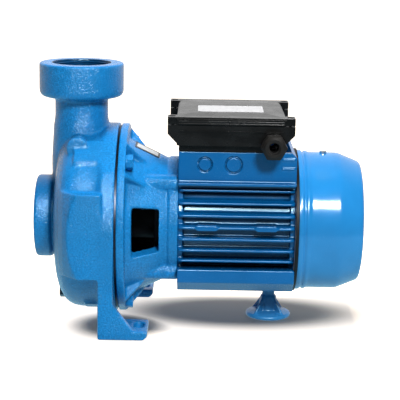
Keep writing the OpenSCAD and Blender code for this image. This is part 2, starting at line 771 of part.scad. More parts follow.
// Corner columns that carry the lid's screws, with their lower ends cut at a slope
module ears(z0, z1) {
  slope_z = 95;
  for (s = [0, 1]) mirror([0, s, 0]) intersection() {
    block([0, ear_y[0], z0], [300, ear_y[1], z1]);
    box_side([[body_x[0], 86], [body_x[1], 86], [body_x[1] + ear_x, slope_z],
      [body_x[1] + ear_x, 120], [body_x[0] - ear_x, 120], [body_x[0] - ear_x, slope_z]]);
  }
}

module terminal_box() color([0.11, 0.11, 0.11]) difference() {
  union() {
    block([body_x[0], -box_y, skirt_z], [body_x[1], box_y, lid_seat_z]);
    block([skirt_x[0], -skirt_y, box_floor_z], [skirt_x[1], skirt_y, skirt_z + cut]);
    ears(skirt_z - 1, lid_seat_z);
    // Rib along both long sides
    block([body_x[0] + 3, -box_y - 0.7, 97.2], [body_x[1] - 3, box_y + 0.7, 98.4]);
    translate([gland_x, -67, gland_z]) rotate([-90, 0, 0]) cylinder(r = 11.5, h = 11, $fn = round_fn);
  }
  block([body_x[0] + wall_t, -box_y + wall_t, skirt_z + wall_t],
    [body_x[1] - wall_t, box_y - wall_t, lid_seat_z + cut]);
  block([skirt_x[0] + wall_t, -skirt_y + wall_t, box_floor_z + wall_t],
    [skirt_x[1] - wall_t, skirt_y - wall_t, skirt_z + wall_t + cut]);
  translate([gland_x, -70, gland_z]) rotate([-90, 0, 0]) cylinder(r = 9, h = 22, $fn = round_fn);
  at_lid_screws() translate([0, 0, 94]) cylinder(r = 1.5, h = 20, $fn = small_fn);
  at_box_posts() translate([0, 0, 70]) cylinder(r = 2.2, h = 20, $fn = small_fn);
  translate([earth_x, box_post_y, 70]) cylinder(r = 2.4, h = 20, $fn = small_fn);
  // Way in for the leads, and the well for the capacitor
  translate([151, 0, 70]) cylinder(r = 9, h = 20, $fn = round_fn);
  block([capacitor_x - 19.5, -36, 70], [capacitor_x + 19.5, 36, 82]);
}

module box_gasket() color([0.05, 0.05, 0.05]) difference() {
  block([skirt_x[0] + 0.5, -block_y + 0.5, block_z], [skirt_x[1] - 0.5, block_y - 0.5, box_floor_z - ease]);
  block([158, -40, 70], [237, 40, 90]);
  translate([151, 0, 70]) cylinder(r = 9, h = 20, $fn = round_fn);
  at_box_posts() translate([0, 0, 70]) cylinder(r = 2.2, h = 20, $fn = small_fn);
  translate([earth_x, box_post_y, 70]) cylinder(r = 2.4, h = 20, $fn = small_fn);
}

// A pan-headed screw that points down from z = 0
module pan_screw(head_r, head_h, shank_r, len) {
  difference() {
    cylinder(r = head_r, h = head_h, $fn = small_fn);
    for (a = [0, 90]) rotate(a) translate([-head_r * 0.6, -0.4, head_h * 0.5]) cube([head_r * 1.2, 0.8, head_h]);
  }
  translate([0, 0, -len]) cylinder(r = shank_r, h = len, $fn = small_fn);
}

module box_screws() color([0.75, 0.75, 0.77]) at_box_posts()
  translate([0, 0, box_floor_z + wall_t + ease]) pan_screw(3.6, 2.2, 1.78, 12);

module earth_screw() color([0.75, 0.65, 0.25])
  translate([earth_x, box_post_y, box_floor_z + wall_t + ease]) pan_screw(4, 2.6, 2.08, 12);

lid_base_z = lid_seat_z + 1;
lid_tab_z = 107;
lid_ear_z = lid_z - 1;

// Lid with a low hipped top, four screw ears and a lip along its lower edge
module box_lid() color([0.12, 0.12, 0.12]) difference() {
  union() {
    intersection() {
      box_side([[body_x[0], lid_base_z], [body_x[1], lid_base_z], [body_x[1], lid_z - 2.2],
        [body_x[1] - 1.5, lid_z - 1.2], [225, lid_z], [153, lid_z], [body_x[0] + 1.5, lid_z - 1.2],
        [body_x[0], lid_z - 2.2]]);
      box_front([[-64, 100], [-64, lid_z - 2.6], [-62.5, lid_z - 1.6], [-38, lid_z], [38, lid_z],
        [62.5, lid_z - 1.6], [64, lid_z - 2.6], [64, 100]]);
    }
    ears(lid_base_z, lid_ear_z);
    block([body_x[0] + 2, -64.8, lid_base_z], [body_x[1] - 2, 64.8, lid_base_z + 1.2]);
    block([body_x[0] + 2, -64.6, lid_base_z + 2.6], [body_x[1] - 2, 64.6, lid_base_z + 3.4]);
  }
  block([body_x[0] + wall_t, -61, lid_base_z - cut], [body_x[1] - wall_t, 61, lid_z - 4]);
  at_lid_screws() {
    translate([0, 0, 90]) cylinder(r = 1.8, h = 30, $fn = small_fn);
    translate([0, 0, lid_tab_z]) cylinder(r = 3.3, h = 30, $fn = small_fn);
  }
}

module lid_gasket() color([0.06, 0.06, 0.06]) difference() {
  block([body_x[0] + 0.4, -box_y + 0.4, lid_seat_z + ease], [body_x[1] - 0.4, box_y - 0.4, lid_base_z - ease]);
  block([body_x[0] + wall_t + 1, -box_y + wall_t + 1, 90], [body_x[1] - wall_t - 1, box_y - wall_t - 1, 120]);
}

module lid_screws() color([0.2, 0.2, 0.21]) at_lid_screws()
  translate([0, 0, lid_tab_z + ease]) pan_screw(3, 2.2, 1.48, 12);

module lid_label() color([0.9, 0.9, 0.9]) block([158.5, -32, lid_z + ease], [222, 8, lid_z + 0.3]);

stud_x = [161, 171, 181];
stud_y = [-10, 10];

module terminal_board() color([0.5, 0.2, 0.1]) difference() {
  block([155, -18, box_floor_z + wall_t + ease], [187, 18, 87]);
  for (x = stud_x, y = stud_y) translate([x, y, 82]) cylinder(r = 2, h = 20, $fn = small_fn);
}

module terminal_studs() color([0.8, 0.66, 0.3]) for (x = stud_x, y = stud_y)
  translate([x, y, 82.1]) cylinder(r = 2 - ease, h = 14, $fn = small_fn);

module terminal_nuts() color([0.8, 0.66, 0.3]) for (x = stud_x, y = stud_y)
  translate([x, y, 87 + ease]) difference() {
    cylinder(r = 7 / sqrt(3), h = 3.2, $fn = 6);
    translate([0, 0, -cut]) cylinder(r = 2 + ease, h = 10, $fn = small_fn);
  }

capacitor_r = 17;
capacitor_z = 79;

module run_capacitor() color([0.75, 0.76, 0.78]) translate([capacitor_x, 0, capacitor_z]) rotate([90, 0, 0]) {
  cylinder(r = capacitor_r, h = 58, center = true, $fn = round_fn);
  for (x = [-6, 6]) translate([x, 0, 29]) cylinder(r = 2, h = 5, $fn = small_fn);
}

// Strap over the capacitor with a tab on each side
module capacitor_clamp() color([0.65, 0.66, 0.68]) {
  strap_z = box_floor_z + wall_t + ease;
  difference() {
    union() {
      translate([capacitor_x, 0, capacitor_z]) rotate([90, 0, 0])
        cylinder(r = capacitor_r + 1.4, h = 12, center = true, $fn = round_fn);
      block([capacitor_x - 25, -6, strap_z], [capacitor_x + 25, 6, strap_z + 1.4]);
    }
    translate([capacitor_x, 0, capacitor_z]) rotate([90, 0, 0])
      cylinder(r = capacitor_r + ease, h = 40, center = true, $fn = round_fn);
    block([capacitor_x - 30, -10, 50], [capacitor_x + 30, 10, strap_z]);
  }
}

// ---- Cable gland ----

module at_gland() {
  translate([gland_x, 0, gland_z]) rotate([0, 0, -90]) children();
}

module gland_body() color([0.1, 0.1, 0.1]) at_gland() rotate([30, 0, 0]) difference() {
  union() {
    rod(56, 11.05, 9 - ease);
    hex_rod(67 + ease, 3, 22);
    rod(69, 6, 8);
  }
  rod(49, 30, 6.5);
}

// Domed hexagon nut that squeezes the seal round the cable
module gland_nut() color([0.2, 0.19, 0.18]) at_gland() rotate([30, 0, 0]) difference() {
  intersection() {
    hex_rod(70.2, 9.3, 22);
    turned([[0, 70], [12.8, 70], [12.8, 76.5], [8.6, 79.5], [0, 79.5]]);
  }
  rod(70, 6, 8.1);
  rod(70, 12, 5.7);
}

module gland_seal() color([0.05, 0.05, 0.05]) at_gland() tube(66, 8.8, 6.5 - ease, 4.5);

// ---- Levelling foot ----

module levelling_foot() color([0.07, 0.25, 0.42]) translate([foot_x, 0, 0]) {
  translate([0, 0, -80]) cylinder(r = stem_r, h = 20, $fn = round_fn);
  rotate_extrude($fn = round_fn) polygon([[0, floor_z], [22, floor_z], [22.5, floor_z + 1],
    [22.5, floor_z + 3], [21, floor_z + 4], [10, floor_z + 6], [8, -80], [7.5, -79], [0, -79]]);
  for (a = [45, 135]) rotate(a) translate([0, 1.5, 0]) rotate([90, 0, 0]) linear_extrude(height = 3)
    polygon([[-20, floor_z + 3], [20, floor_z + 3], [20, floor_z + 5], [8, -80], [-8, -80], [-20, floor_z + 5]]);
}

pump_casing();
casing_oring();
drain_plug();
priming_plug();
plug_washers();
back_plate();
casing_bolts();
casing_washers();
impeller();
impeller_key();
impeller_nut();
impeller_washer();
seal_seat();
seal_face();
seal_spring();
motor_bracket();
rating_plate();
slinger();
bearing_circlip();
shaft();
rotor_core();
rotor_cage();
front_bearing_outer();
front_bearing_inner();
front_bearing_balls();
front_bearing_cage();
rear_bearing_outer();
rear_bearing_inner();
rear_bearing_balls();
rear_bearing_cage();
wave_spring();
motor_frame();
stator_core();
stator_windings();
motor_leads();
rear_shield();
tie_rods();
cooling_fan();
fan_clip();
cover_ring();
fan_cover();
fan_cover_screws();
terminal_box();
box_gasket();
box_screws();
box_lid();
lid_gasket();
lid_screws();
lid_label();
terminal_board();
terminal_studs();
terminal_nuts();
run_capacitor();
capacitor_clamp();
earth_screw();
gland_body();
gland_nut();
gland_seal();
levelling_foot();
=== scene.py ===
import json
import math

import bmesh
import bpy
import numpy as np
from mathutils import Matrix, Vector


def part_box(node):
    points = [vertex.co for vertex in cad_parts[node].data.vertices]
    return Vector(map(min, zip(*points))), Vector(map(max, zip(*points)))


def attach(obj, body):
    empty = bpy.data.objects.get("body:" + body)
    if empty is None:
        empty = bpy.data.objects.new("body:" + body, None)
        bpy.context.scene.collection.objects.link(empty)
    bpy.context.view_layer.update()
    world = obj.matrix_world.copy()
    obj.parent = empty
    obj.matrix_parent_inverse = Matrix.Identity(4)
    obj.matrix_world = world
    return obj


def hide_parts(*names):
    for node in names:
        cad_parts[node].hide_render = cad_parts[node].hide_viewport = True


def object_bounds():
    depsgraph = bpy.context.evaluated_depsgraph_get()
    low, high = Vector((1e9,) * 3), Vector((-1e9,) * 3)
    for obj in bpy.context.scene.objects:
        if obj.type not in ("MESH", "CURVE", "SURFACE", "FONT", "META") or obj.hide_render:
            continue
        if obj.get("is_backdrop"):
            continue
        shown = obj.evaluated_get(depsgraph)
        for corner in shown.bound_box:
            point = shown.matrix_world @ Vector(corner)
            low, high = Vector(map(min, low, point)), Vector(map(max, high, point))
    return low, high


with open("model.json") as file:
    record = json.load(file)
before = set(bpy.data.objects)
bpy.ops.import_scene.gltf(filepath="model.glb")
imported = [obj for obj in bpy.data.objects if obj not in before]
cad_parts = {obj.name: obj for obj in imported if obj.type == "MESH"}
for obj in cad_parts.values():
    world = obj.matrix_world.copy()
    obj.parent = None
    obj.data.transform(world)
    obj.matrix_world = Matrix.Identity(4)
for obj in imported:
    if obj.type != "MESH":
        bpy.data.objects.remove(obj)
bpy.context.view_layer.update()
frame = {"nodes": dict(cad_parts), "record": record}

scene = bpy.context.scene
nodes = frame["nodes"]
mounts = {m["name"]: m for m in frame["record"]["mounts"]}
body_of = {n: body for body, members in frame["record"]["behaviour"]["bodies"].items() for n in members}
MM = 0.001

# ---------------------------------------------------------------- materials


class Nodes:
    """A node tree, with short calls to add and link nodes."""

    def __init__(self, owner):
        owner.use_nodes = True
        self.tree = owner.node_tree

    def node(self, kind, settings=None, **inputs):
        made = self.tree.nodes.new(kind)
        for key, value in (settings or {}).items():
            setattr(made, key, value)
        for key, value in inputs.items():
            self.set(made.inputs[key], value)
        return made

    def set(self, socket, value):
        if isinstance(value, bpy.types.NodeSocket):
            self.tree.links.new(value, socket)
        elif isinstance(value, tuple) and len(value) == 3 and socket.type == "RGBA":
            socket.default_value = (*value, 1)
        else:
            socket.default_value = value

    def ramp(self, value, low, high, out_low=0.0, out_high=1.0):
        made = self.node("ShaderNodeMapRange", {"clamp": True, "interpolation_type": "SMOOTHSTEP"})
        for key, v in zip(("Value", "From Min", "From Max", "To Min", "To Max"),
                          (value, low, high, out_low, out_high)):
            self.set(made.inputs[key], v)
        return made.outputs["Result"]

    def math(self, operation, a, b):
        made = self.node("ShaderNodeMath", {"operation": operation})
        self.set(made.inputs[0], a)
        self.set(made.inputs[1], b)
        return made.outputs[0]

    def mix(self, share, a, b):
        made = self.node("ShaderNodeMix", {"data_type": "RGBA"})
        self.set(made.inputs["Factor"], share)
        self.set(made.inputs["A"], a)
        self.set(made.inputs["B"], b)
        return made.outputs["Result"]


class Shader(Nodes):
    """A material with a Principled shader, fed by textures in the object's own space."""

    def __init__(self, name):
        self.material = bpy.data.materials.new(name)
        super().__init__(self.material)
        self.bsdf = self.tree.nodes["Principled BSDF"]
        self.place = self.node("ShaderNodeTexCoord").outputs["Object"]

    def noise(self, size, detail=2, rough=0.5, stretch=None):
        """Noise of about this size in metres."""
        place = self.place
        if stretch:
            scaled = self.node("ShaderNodeVectorMath", {"operation": "MULTIPLY"})
            self.set(scaled.inputs[0], self.place)
            scaled.inputs[1].default_value = stretch
            place = scaled.outputs[0]
        made = self.node("ShaderNodeTexNoise", Vector=place, Scale=1 / size, Detail=detail, Roughness=rough)
        return made.outputs["Fac"]

    def bump(self, height, depth, strength=1.0):
        made = self.node("ShaderNodeBump", Height=height, Strength=strength, Distance=depth)
        return made.outputs["Normal"]

    def pointiness(self):
        """Over 0.5 along outer edges, and under 0.5 in inner corners."""
        return self.node("ShaderNodeNewGeometry").outputs["Pointiness"]

    def finish(self, **inputs):
        for key, value in inputs.items():
            self.set(self.bsdf.inputs[key.replace("_", " ")], value)
        return self.material


def shade(colour, factor):
    return tuple(c * factor for c in colour)


# Tint of the reflections that face the eye on blue paint
BLUE_GLOSS = (0.55, 0.85, 1.0)


def cast_paint(name, colour, grain=1.7 * MM, depth=0.8 * MM, rough=0.16):
    """Glossy paint over a sand casting: fine grain, broad drifts of tone, lighter edges of wear and painted
    highlight, painted glints, painted shade in pits and hollows.
    """
    s = Shader(name)
    drift = s.ramp(s.noise(45 * MM, 3), 0.3, 0.7)
    tone = s.mix(drift, shade(colour, 0.88), shade(colour, 1.1))
    pits = s.noise(grain, 3, 0.55)
    # Painted shade: the grain's pits are darker.
    tone = s.mix(s.ramp(pits, 0.35, 0.6), shade(colour, 0.78), tone)
    # Painted highlight: glints painted on the grain's raised tops.
    tone = s.mix(s.ramp(pits, 0.6, 0.72, 0, 0.4), tone, shade(colour, 1.6))
    edge = s.pointiness()
    # Lighter along outer edges: worn paint together with a painted edge highlight.
    tone = s.mix(s.ramp(edge, 0.53, 0.62, 0, 0.35), tone, shade(colour, 1.7))
    # Painted shade: darker in hollows and inner corners.
    tone = s.mix(s.ramp(edge, 0.47, 0.40, 0, 0.5), tone, shade(colour, 0.5))
    skin = s.bump(pits, depth)
    gloss = s.ramp(s.noise(20 * MM, 2), 0.3, 0.7, rough * 0.85, rough * 1.25)
    return s.finish(Base_Color=tone, Roughness=gloss, Normal=skin, Specular_Tint=BLUE_GLOSS)


def smooth_paint(name, colour, peel, depth, rough, gloss_tint=BLUE_GLOSS, painted_gap_shade=0.0):
    """Glossy paint over smooth metal: orange peel, faint drifts of tone, lighter edges of wear and painted
    highlight, painted shade in gaps.
    """
    s = Shader(name)
    drift = s.ramp(s.noise(60 * MM, 3), 0.3, 0.7)
    tone = s.mix(drift, shade(colour, 0.9), shade(colour, 1.08))
    edge = s.pointiness()
    # Lighter along outer edges: worn paint together with a painted edge highlight.
    tone = s.mix(s.ramp(edge, 0.54, 0.66, 0, 0.3), tone, shade(colour, 1.8))
    if painted_gap_shade:
        # Painted shade: darker where nearby surfaces close the paint in, as between the fins.
        gap = s.node("ShaderNodeAmbientOcclusion", {"samples": 8, "only_local": True}, Distance=9 * MM)
        tone = s.mix(s.ramp(gap.outputs["AO"], 0.45, 0.8, painted_gap_shade, 0), tone, shade(colour, 0.12))
    skin = s.bump(s.noise(peel, 2), depth)
    dust = s.ramp(s.noise(0.8 * MM, 2), 0.62, 0.75, 0, 0.12)
    gloss = s.math("ADD", s.ramp(s.noise(25 * MM, 2), 0.3, 0.7, rough * 0.9, rough * 1.1), dust)
    return s.finish(Base_Color=tone, Roughness=gloss, Normal=skin, Specular_Tint=gloss_tint)


def moulded(name, colour, rough=0.42, grain=0.5 * MM, depth=0.03 * MM, shine=0.5):
    """Moulded plastic or rubber with a fine spark-eroded texture and slight scuffs."""
    s = Shader(name)
    drift = s.ramp(s.noise(30 * MM, 3), 0.3, 0.7)
    tone = s.mix(drift, shade(colour, 0.8), shade(colour, 1.25))
    edge = s.pointiness()
    # Lighter along outer edges: worn plastic together with a painted edge highlight.
    tone = s.mix(s.ramp(edge, 0.53, 0.64, 0, 0.3), tone, shade(colour, 3))
    scuff = s.ramp(s.noise(8 * MM, 4, 0.6, (1, 3, 1)), 0.6, 0.8, 0, rough * 0.3)
    gloss = s.math("ADD", s.ramp(s.noise(15 * MM, 2), 0.3, 0.7, rough * 0.9, rough * 1.15), scuff)
    return s.finish(Base_Color=tone, Roughness=gloss, Normal=s.bump(s.noise(grain, 2), depth),
                    Specular_IOR_Level=shine)


def turned_metal(name, colour, rough):
    """Machined metal with fine tool marks across the shaft's axis and slight stains."""
    s = Shader(name)
    stain = s.ramp(s.noise(12 * MM, 4, 0.6), 0.35, 0.7)
    tone = s.mix(stain, shade(colour, 0.82), colour)
    marks = s.noise(1.2 * MM, 4, 0.7, (8, 1, 1))
    gloss = s.ramp(marks, 0.3, 0.7, rough * 0.75, rough * 1.3)
    return s.finish(Base_Color=tone, Metallic=1.0, Roughness=gloss, Normal=s.bump(marks, 0.02 * MM, 0.6))


def dull_cast_metal(name, colour):
    """Bare cast metal with a soft grain."""
    s = Shader(name)
    tone = s.mix(s.ramp(s.noise(9 * MM, 4), 0.3, 0.7), shade(colour, 0.75), colour)
    skin = s.bump(s.noise(0.9 * MM, 3), 0.08 * MM)
    return s.finish(Base_Color=tone, Metallic=1.0, Roughness=0.45, Normal=skin)


def wound_wire(name, colour):
    """Varnished wire laid side by side round the shaft."""
    s = Shader(name)
    strands = s.node("ShaderNodeTexWave", {"wave_type": "RINGS", "rings_direction": "X"}, Vector=s.place,
                     Scale=150.0, Distortion=2.0).outputs["Fac"]
    tone = s.mix(strands, shade(colour, 0.45), colour)
    return s.finish(Base_Color=tone, Metallic=0.6, Roughness=0.35, Normal=s.bump(strands, 0.3 * MM))


def laminated(name, colour):
    """Thin steel sheets stacked along the shaft."""
    s = Shader(name)
    sheets = s.node("ShaderNodeTexWave", {"bands_direction": "X"}, Vector=s.place,
                    Scale=300.0, Distortion=0.3).outputs["Fac"]
    tone = s.mix(sheets, shade(colour, 0.5), colour)
    return s.finish(Base_Color=tone, Metallic=0.9, Roughness=0.5, Normal=s.bump(sheets, 0.05 * MM))


# Painted shade along a plate's rim
RIM_BLACK = (0.005, 0.006, 0.01)


def near_rim(s, widths):
    """1 close to the sides of the object's box along X and Y, within these shares of its size."""
    place = s.node("ShaderNodeTexCoord").outputs["Generated"]
    split = s.node("ShaderNodeSeparateXYZ", Vector=place).outputs
    rim = 0.0
    for axis, width in zip("XY", widths):
        off_middle = s.math("ABSOLUTE", s.math("SUBTRACT", split[axis], 0.5), 0.0)
        rim = s.math("MAXIMUM", rim, s.ramp(off_middle, 0.5 - width, 0.5 - width * 0.8))
    return rim


def blank_label(name, colour, metallic=0.0, rough=0.4, rim=None):
    """A blank plate or sticker with faint grey rows where a real one has its table."""
    s = Shader(name)
    rows = s.node("ShaderNodeTexWave", {"bands_direction": "Y"}, Vector=s.place, Scale=55.0)
    words = s.ramp(s.noise(3 * MM, 2, 0.5, (1, 0.2, 1)), 0.52, 0.6)
    marks = s.math("MULTIPLY", s.ramp(rows.outputs["Fac"], 0.75, 0.9), words)
    tone = s.mix(s.math("MULTIPLY", marks, 0.5), colour, shade(colour, 0.3))
    tone = s.mix(s.ramp(s.noise(10 * MM, 3), 0.3, 0.7, 0, 0.15), tone, shade(colour, 0.85))
    # The black band along the rim is painted shade, for the dark edges where the plate meets its recess.
    if rim:
        tone = s.mix(near_rim(s, rim), tone, RIM_BLACK)
    skin = s.bump(s.noise(0.6 * MM), 0.02 * MM)
    return s.finish(Base_Color=tone, Metallic=metallic, Roughness=rough, Normal=skin)


CAST_BLUE = (0.006, 0.165, 0.44)
FRAME_BLUE = (0.0, 0.086, 0.27)
COVER_BLUE = (0.012, 0.165, 0.42)
COVER_GLOSS = (0.85, 0.95, 1.0)
# The foot's blue is lighter than the frame's: painted highlight, for the bright reflection on the top of
# its disc.
FOOT_BLUE = (0.02, 0.16, 0.38)
# Near-black blue: painted shade, for the shadow that the drain plug sits in.
SHADED_PLUG_BLUE = (0.0015, 0.008, 0.022)

MATERIALS = {
    "blue_cast": cast_paint("blue_cast_paint", CAST_BLUE),
    "blue_frame": smooth_paint("blue_frame_paint", FRAME_BLUE, 1.6 * MM, 0.05 * MM, 0.24, painted_gap_shade=0.9),
    "blue_cover": smooth_paint("blue_cover_paint", COVER_BLUE, 1.5 * MM, 0.012 * MM, 0.17, COVER_GLOSS),
    "blue_foot": smooth_paint("blue_foot_paint", FOOT_BLUE, 1.6 * MM, 0.06 * MM, 0.28),
    "stainless": turned_metal("satin_stainless", (0.62, 0.63, 0.65), 0.22),
    "steel": turned_metal("machined_steel", (0.42, 0.43, 0.45), 0.32),
    "zinc": turned_metal("zinc_plate", (0.66, 0.68, 0.7), 0.3),
    "laminations": laminated("stacked_sheets", (0.25, 0.26, 0.28)),
    "aluminium": dull_cast_metal("cast_aluminium", (0.62, 0.63, 0.65)),
    "brass": turned_metal("machined_brass", (0.66, 0.44, 0.15), 0.3),
    "copper": wound_wire("copper_winding", (0.6, 0.24, 0.09)),
    "ceramic": moulded("lapped_ceramic", (0.72, 0.68, 0.6), 0.2, 1 * MM, 0.005 * MM),
    "carbon": moulded("lapped_carbon", (0.03, 0.03, 0.033), 0.35),
    "rubber": moulded("black_rubber", (0.003, 0.003, 0.003), 0.5, 0.8 * MM, 0.05 * MM, 0.2),
    "black_plastic": moulded("box_plastic", (0.003, 0.003, 0.003), 0.25, 0.7 * MM, 0.02 * MM, 0.4),
    "fan_plastic": moulded("fan_plastic", (0.015, 0.015, 0.017), 0.5),
    "gland_plastic": moulded("gland_plastic", (0.006, 0.0055, 0.005), 0.5, 0.6 * MM, 0.03 * MM, 0.22),
    "board": moulded("board_plastic", (0.2, 0.05, 0.025), 0.4),
    "label": blank_label("white_label", (0.36, 0.36, 0.37)),
    "plate": blank_label("silver_plate", (0.6, 0.61, 0.62), 0.5, 0.35, (0.08, 0.17)),
    "leads": moulded("wire_sleeve", (0.4, 0.02, 0.015), 0.4),
}
# Painted shade: a dark copy of the cast paint inside the ports and on their threads.
BORE_SHADE_PAINT = cast_paint("painted_shade_in_ports", (0.001, 0.03, 0.085), 1.0 * MM, 0.2 * MM)
# Painted shade: near-black inside the bracket, where the shade falls.
INTERIOR_SHADE = moulded("painted_shade_inside", (0.006, 0.007, 0.010), 0.6, 1.5 * MM, 0.2 * MM, 0.15)
# Materials of the nodes that look unlike the rest of their slot
# The back plate's near-black metal is painted shade, for the dark gap between the casing's and the
# bracket's flanges.
OWN_MATERIALS = {"back_plate": turned_metal("shade_dark_plate", (0.035, 0.042, 0.055), 0.35)}
# Both plugs wear painted shade: a near-black copy of the blue paint.
for plug in ("drain_plug", "priming_plug"):
    OWN_MATERIALS[plug] = smooth_paint("painted_" + plug, SHADED_PLUG_BLUE, 1.2 * MM, 0.06 * MM, 0.35)
slot_of = {p["node"]: p["material_slot"] for p in frame["record"]["subparts"]}

# ---------------------------------------------------------------- mesh tools

# Distance within which points of a CAD mesh are taken as one
WELD_GAP = 0.001 * MM


def add_piece(name, mesh, node):
    """A new piece that rides with a CAD node's body and wears its material."""
    piece = bpy.data.objects.new(name, mesh)
    scene.collection.objects.link(piece)
    mesh.materials.clear()
    mesh.materials.append(MATERIALS[slot_of[node]])
    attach(piece, body_of[node])
    return piece


def as_mesh(name, source, modifiers):
    """The mesh that a copy of source gets from these modifiers."""
    copy = bpy.data.objects.new("working_copy", source.data.copy())
    scene.collection.objects.link(copy)
    for kind, settings in modifiers:
        modifier = copy.modifiers.new(kind, kind)
        for key, value in settings.items():
            setattr(modifier, key, value)
    made = bpy.data.meshes.new_from_object(copy.evaluated_get(bpy.context.evaluated_depsgraph_get()))
    made.name = name
    bpy.data.objects.remove(copy)
    return made


def get_points(mesh):
    points = np.zeros(len(mesh.vertices) * 3)
    mesh.vertices.foreach_get("co", points)
    return points.reshape(-1, 3)


def set_points(mesh, points):
    mesh.vertices.foreach_set("co", points.ravel())
    mesh.update()


def relax(mesh, rounds, keep=None):
    """Rounds off a remeshed casting's edges and fills its corners. keep is 1 where points stay put."""
    points = get_points(mesh)
    edges = np.zeros(len(mesh.edges) * 2, int)
    mesh.edges.foreach_get("vertices", edges)
    a, b = edges.reshape(-1, 2).T
    count = np.bincount(a, minlength=len(points)) + np.bincount(b, minlength=len(points))
    share = 0.5 * (1 - (keep(points) if keep else np.zeros(len(points))))[:, None]
    for _ in range(rounds):
        total = np.zeros_like(points)
        for axis in range(3):
            total[:, axis] = (np.bincount(a, points[b, axis], len(points))
                              + np.bincount(b, points[a, axis], len(points)))
        points += share * (total / count[:, None] - points)
    set_points(mesh, points)


def casting(node, voxel, rounds, keep=None):
    """Stands for a CAD casting with the same form, but with cast fillets and rounded edges."""
    mesh = as_mesh(node + "_cast", nodes[node],
                   [("WELD", {"merge_threshold": WELD_GAP}),
                    ("REMESH", {"mode": "VOXEL", "voxel_size": voxel, "use_smooth_shade": True})])
    relax(mesh, rounds, keep)
    piece = add_piece(node + "_cast", mesh, node)
    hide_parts(node)
    return piece


def lathe_mesh(name, profile, steps, drop):
    """A surface turned about the shaft from [radius, x] points, without the faces that drop names."""
    mesh = bpy.data.meshes.new(name)
    shape = bmesh.new()
    rings = []
    for radius, x in profile:
        rings.append([shape.verts.new((x, radius * math.cos(2 * math.pi * k / steps),
                                       radius * math.sin(2 * math.pi * k / steps))) for k in range(steps)])
    for i in range(len(rings) - 1):
        for k in range(steps):
            if not drop(i, k):
                after = (k + 1) % steps
                shape.faces.new((rings[i][k], rings[i][after], rings[i + 1][after], rings[i + 1][k]))
    for face in shape.faces:
        face.smooth = True
    shape.to_mesh(mesh)
    shape.free()
    return mesh


# ---------------------------------------------------------------- pieces


def near_bore(points, centre, axis, radius, depth, slack=1.2 * MM):
    """1 for the points on the wall of a bore that opens at centre and runs against axis."""
    away = points - np.array(centre)
    along = away @ np.array(axis)
    across = np.linalg.norm(away - np.outer(along, axis), axis=1)
    return ((np.abs(across - radius) < slack) & (along > -depth - slack) & (along < slack)).astype(float)


def port_walls(points):
    keep = np.zeros(len(points))
    for name in ("suction_port", "discharge_port"):
        m = mounts[name]
        keep = np.maximum(keep, near_bore(points, m["pos_m"], m["axis"], m["dims"]["r_mm"] * MM,
                                          m["dims"]["length_mm"] * MM))
    return keep


def inside_bracket(places):
    """True for what is nearer the shaft than the inner wall of the bracket's cone."""
    along = (places[:, 0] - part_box("motor_bracket")[0].x) / MM
    radius = np.hypot(places[:, 1], places[:, 2]) / MM
    wall = np.interp(along, [0, 8.5, 34.5, 44.5, 58], [66, 66, 53, 47, 47])
    return (radius < wall + 0.9) & (along > 0.5) & (along < 57)


def coat_inside(piece, material, is_inside):
    """Gives another material to the faces whose middles pass the is_inside test."""
    mesh = piece.data
    mesh.materials.append(material)
    places = np.zeros(len(mesh.polygons) * 3)
    mesh.polygons.foreach_get("center", places)
    mesh.polygons.foreach_set("material_index", is_inside(places.reshape(-1, 3)).astype(np.int32))


# The port walls wear painted shade.
coat_inside(casting("pump_casing", 1.1 * MM, 4, port_walls), BORE_SHADE_PAINT, port_walls)
casting("motor_frame", 0.75 * MM, 1)
casting("levelling_foot", 0.8 * MM, 4)
bracket = casting("motor_bracket", 1.0 * MM, 3)
# The bracket's inner faces wear painted shade.
coat_inside(bracket, INTERIOR_SHADE, inside_bracket)


def fan_cover():
    """Spun sheet cover with rolled beads, and rings of pressed air slots in its end."""
    low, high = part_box("fan_cover")
    wall = high.y / MM - 2
    end = high.x / MM
    start = low.x / MM
    flange = [(2, 0), (2, 3.4), (1.6, 4.4), (0.2, 5.4)]
    bead = [(0.2, 6.4), (1, 7.4), (1.3, 8.6), (1.1, 9.8), (0.2, 11.6), (0, 13)]
    rolls = [(wall + rise, start + along) for rise, along in flange + bead]
    shoulder = [(wall, start + along) for along in (18, 24, 30, 36, 39)]
    shoulder += [(wall - 0.3, start + 41), (wall - 0.9, start + 43)]
    cone = [(wall - 0.9 - 6.6 * k / 6, start + 43 + (end - start - 46.6) * k / 6) for k in range(1, 7)]
    lip = [(59.7, end - 2.2), (59, end - 1.2), (57.9, end - 0.4), (56.4, end)]
    face = [(r, end) for r in (52, 48, 44.5, 40, 36.5, 32, 28.5, 24, 20.5, 16, 12, 8, 4, 0.4)]
    profile = [(r * MM, x * MM) for r, x in rolls + shoulder + cone + lip + face]
    steps = 320
    slots = [(44.5, 40), (36.5, 32), (28.5, 24), (20.5, 16)]
    spoke_half_width = 1.8
    spoke_angle = 45

    def open_slot(ring, step):
        band = (round(profile[ring][0] / MM, 1), round(profile[ring + 1][0] / MM, 1))
        half = spoke_angle / 2
        turn = math.radians(((step + 0.5) * 360 / steps + half) % spoke_angle - half)
        return band in slots and abs(math.sin(turn)) * sum(band) / 2 > spoke_half_width

    mesh = lathe_mesh("fan_cover_sheet", profile, steps, open_slot)
    piece = add_piece("fan_cover_sheet", mesh, "fan_cover")
    sheet = piece.modifiers.new("sheet", "SOLIDIFY")
    sheet.thickness = 1.2 * MM
    sheet.offset = -1
    rim = piece.modifiers.new("rim", "BEVEL")
    rim.width = 0.3 * MM
    rim.segments = 2
    rim.limit_method = "ANGLE"
    rim.angle_limit = math.radians(50)
    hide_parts("fan_cover")


fan_cover()


